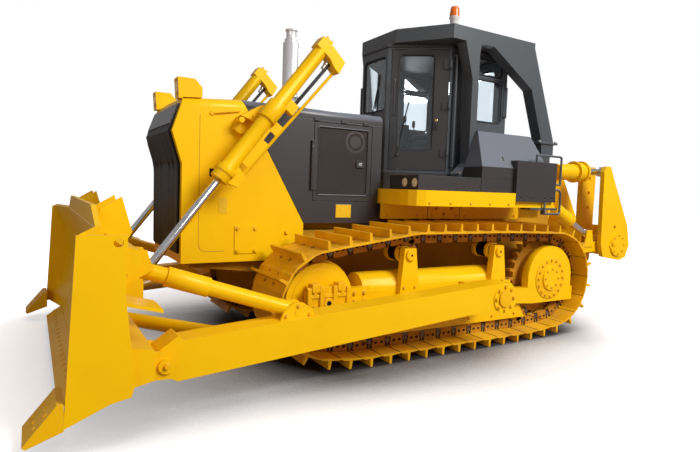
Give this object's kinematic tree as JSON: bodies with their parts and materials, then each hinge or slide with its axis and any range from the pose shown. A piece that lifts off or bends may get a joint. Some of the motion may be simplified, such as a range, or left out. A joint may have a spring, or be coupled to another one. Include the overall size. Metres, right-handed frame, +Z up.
{
  "type": "crawler bulldozer with semi-U blade and single-shank ripper",
  "caption": "Large crawler bulldozer with push arms, hydraulic blade, enclosed cab under a rollover frame, and a parallelogram rear ripper.",
  "frame": {"origin": "centre of the machine's outline, on the ground", "axes": "+X forward towards the blade, +Y to the machine's left, +Z up"},
  "size_m": [8.489, 4.03, 3.818],
  "materials": {
    "yellow_paint": "gloss paint, slightly worn",
    "dark_paint": "satin paint",
    "black_mesh": "perforated sheet",
    "glass": "clear",
    "seat_cover": "woven cover",
    "black_plastic": "textured",
    "cast_iron": "painted casting",
    "silver_pipe": "heat coated",
    "amber_lens": "clear lens",
    "worn_steel": "painted, edge worn",
    "rubber": "hose cover",
    "chrome": "polished rod",
    "track_paint": "painted steel"
  },
  "bodies": {
    "tractor": {"main_frame": "yellow_paint", "belly_guard": "dark_paint", "engine": "cast_iron", "radiator_guard": "yellow_paint", "grille": "black_mesh", "front_lamps": "yellow_paint", "hood": "dark_paint", "exhaust": "silver_pipe", "fenders": "yellow_paint", "side_boxes": "dark_paint", "rear_boxes": "dark_paint", "step_boxes": "dark_paint", "fuel_tank": "dark_paint", "grab_rails": "dark_paint", "cab_walls": "dark_paint", "cab_glass": "glass", "cab_floor": "dark_paint", "cab_roof": "dark_paint", "seat": "seat_cover", "seat_base": "black_plastic", "dash": "black_plastic", "rops": "dark_paint", "beacon": "amber_lens", "track_left": "track_paint", "track_right": "track_paint", "track_frames": "yellow_paint", "sprockets": "yellow_paint", "idlers": "yellow_paint", "track_rollers": "yellow_paint", "carrier_rollers": "yellow_paint", "sprocket_guards": "yellow_paint", "final_drives": "yellow_paint", "lift_yokes": "yellow_paint", "ripper_bracket": "yellow_paint"},
    "blade": {"blade": "yellow_paint", "cutting_edge": "worn_steel", "end_bits": "worn_steel", "push_arms": "yellow_paint", "blade_braces": "yellow_paint"},
    "ripper_link": {"ripper_link": "yellow_paint"},
    "ripper_pins": {"ripper_pins": "yellow_paint"},
    "ripper_tool": {"ripper_beam": "yellow_paint", "ripper_shank": "worn_steel"},
    "engine_door_left": {"engine_door_left": "dark_paint"},
    "cab_door_left": {"cab_door_left": "dark_paint", "door_glass_left": "glass"},
    "engine_door_right": {"engine_door_right": "dark_paint"},
    "cab_door_right": {"cab_door_right": "dark_paint", "door_glass_right": "glass"},
    "lift_rods": {"lift_rods": "chrome"},
    "ripper_lift_barrels": {"ripper_lift_barrels": "yellow_paint"},
    "ripper_lift_rods": {"ripper_lift_rods": "chrome"},
    "ripper_pitch_barrels": {"ripper_pitch_barrels": "yellow_paint"},
    "ripper_pitch_rods": {"ripper_pitch_rods": "chrome"},
    "lift_barrels": {"lift_barrels": "yellow_paint", "lift_hoses": "rubber"}
  },
  "joints": [
    {"name": "blade_lift", "type": "hinge", "parent": "tractor", "child": "blade", "pos_m": [-0.006, 0, 0.634], "axis": [0, -1, 0], "range_deg": [-9, 20]},
    {"name": "ripper_lower", "type": "hinge", "parent": "tractor", "child": "ripper_link", "pos_m": [-2.515, 0, 0.88], "axis": [0, -1, 0], "range_deg": [0, 50]},
    {"name": "ripper_level", "type": "hinge", "parent": "ripper_link", "child": "ripper_pins", "pos_m": [-3.765, 0, 0.94], "axis": [0, -1, 0], "range_deg": [-50, 0]},
    {"name": "ripper_pitch", "type": "hinge", "parent": "ripper_pins", "child": "ripper_tool", "pos_m": [-3.765, 0, 0.94], "axis": [0, -1, 0], "range_deg": [-8, 15]},
    {"name": "lift_swing", "type": "hinge", "parent": "tractor", "child": "lift_barrels", "pos_m": [2.228, 0, 2.401], "axis": [0, -1, 0], "range_deg": [-10.9, 24.1]},
    {"name": "lift_stroke", "type": "slide", "parent": "lift_barrels", "child": "lift_rods", "axis": [0.6089, 0, -0.7932], "range_m": [-0.9794, 0.4418]},
    {"name": "ripper_lift_swing", "type": "hinge", "parent": "tractor", "child": "ripper_lift_barrels", "pos_m": [-2.315, 0, 1.6], "axis": [0, -1, 0], "range_deg": [-0.1, 27.35]},
    {"name": "ripper_lift_stroke", "type": "slide", "parent": "ripper_lift_barrels", "child": "ripper_lift_rods", "axis": [-0.905, 0, -0.4254], "range_m": [-0.002, 0.3991]},
    {"name": "ripper_pitch_swing", "type": "hinge", "parent": "tractor", "child": "ripper_pitch_barrels", "pos_m": [-2.315, 0, 2.05], "axis": [0, -1, 0], "range_deg": [-0.1, 50.1]},
    {"name": "ripper_pitch_stroke", "type": "slide", "parent": "ripper_pitch_barrels", "child": "ripper_pitch_rods", "axis": [-0.9988, 0, 0.0479], "range_m": [-0.1665, 0.3104]},
    {"name": "cab_door_left_hinge", "type": "hinge", "parent": "tractor", "child": "cab_door_left", "pos_m": [-0.03529, 0.75015, 2.645], "axis": [0, 0, 1], "range_deg": [0, 120]},
    {"name": "engine_door_left_hinge", "type": "hinge", "parent": "tractor", "child": "engine_door_left", "pos_m": [1.67, 0.617, 1.94], "axis": [0, 0, -1], "range_deg": [0, 90]},
    {"name": "cab_door_right_hinge", "type": "hinge", "parent": "tractor", "child": "cab_door_right", "pos_m": [-0.03529, -0.75015, 2.645], "axis": [0, 0, -1], "range_deg": [0, 120]},
    {"name": "engine_door_right_hinge", "type": "hinge", "parent": "tractor", "child": "engine_door_right", "pos_m": [1.67, -0.617, 1.94], "axis": [0, 0, 1], "range_deg": [0, 90]}
  ],
  "couplings": [
    {"joint": "ripper_level", "follows": "ripper_lower", "ratio": -1},
    {"joint": "lift_swing", "follows": "blade_lift", "ratio": 1.2},
    {"joint": "lift_stroke", "follows": "blade_lift", "m_per_rad": -2.8},
    {"joint": "ripper_lift_swing", "follows": "ripper_lower", "ratio": 0.545},
    {"joint": "ripper_lift_stroke", "follows": "ripper_lower", "m_per_rad": 0.455},
    {"joint": "ripper_pitch_swing", "follows": "ripper_lower", "ratio": 1},
    {"joint": "ripper_pitch_stroke", "follows": "ripper_pitch", "m_per_rad": 1.178}
  ]
}
